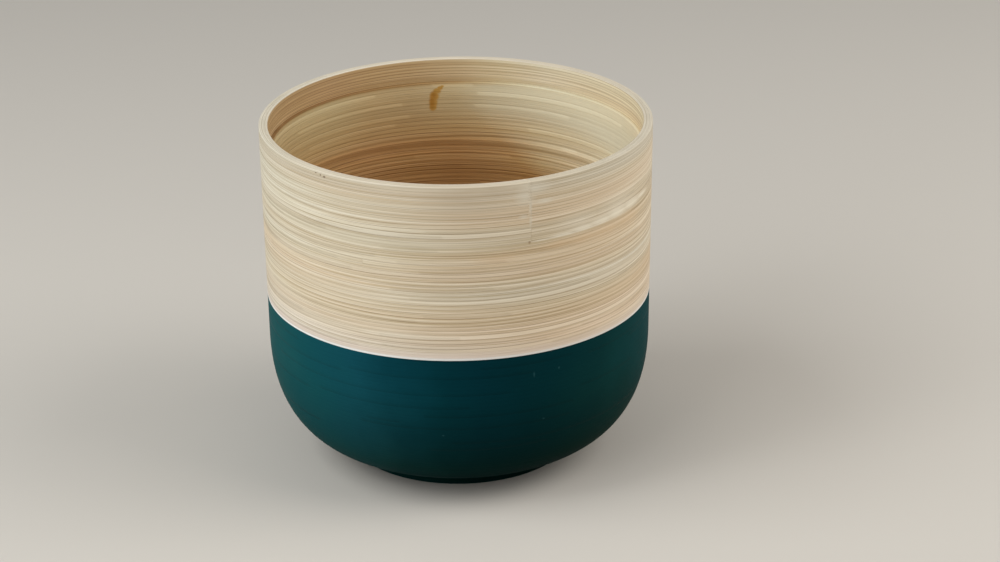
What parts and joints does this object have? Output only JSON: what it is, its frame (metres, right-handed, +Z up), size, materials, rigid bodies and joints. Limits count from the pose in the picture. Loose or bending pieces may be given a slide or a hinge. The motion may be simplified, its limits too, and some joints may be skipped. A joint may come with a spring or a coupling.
{
  "type": "bamboo cachepot",
  "caption": "Round-bottomed cachepot of spun bamboo, wound from long glued strips, bare inside and above and painted teal below, made to hide a nursery pot.",
  "frame": {"origin": "on the table, at the middle of the foot", "axes": "+Z up along the pot's axis; the pictured side faces -Y"},
  "size_m": [0.172, 0.172, 0.1536],
  "materials": {
    "bare_bamboo": "sanded bamboo under clear matt lacquer",
    "painted_bamboo": "bamboo with satin teal paint outside, bare inside the pot"
  },
  "bodies": {
    "root": {"centre_peg": "painted_bamboo", "floor_strip_1": "painted_bamboo", "floor_strip_2": "painted_bamboo", "haunch_strip_1": "painted_bamboo", "haunch_strip_2": "painted_bamboo", "haunch_strip_3": "painted_bamboo", "haunch_strip_4": "painted_bamboo", "haunch_strip_5": "painted_bamboo", "haunch_strip_6": "painted_bamboo", "haunch_strip_7": "painted_bamboo", "haunch_strip_8": "painted_bamboo", "haunch_strip_9": "painted_bamboo", "wall_strip_1": "painted_bamboo", "wall_strip_2": "painted_bamboo", "foot_strip": "painted_bamboo", "wall_strip_3": "bare_bamboo", "wall_strip_4": "bare_bamboo", "wall_strip_5": "bare_bamboo", "wall_strip_6": "bare_bamboo", "wall_strip_7": "bare_bamboo", "collar_strip_1": "bare_bamboo", "collar_strip_2": "bare_bamboo", "collar_strip_3": "bare_bamboo", "collar_strip_4": "bare_bamboo", "collar_strip_5": "bare_bamboo", "rim_inner_hoop": "bare_bamboo", "rim_middle_hoop": "bare_bamboo", "rim_outer_hoop": "bare_bamboo"}
  },
  "joints": []
}
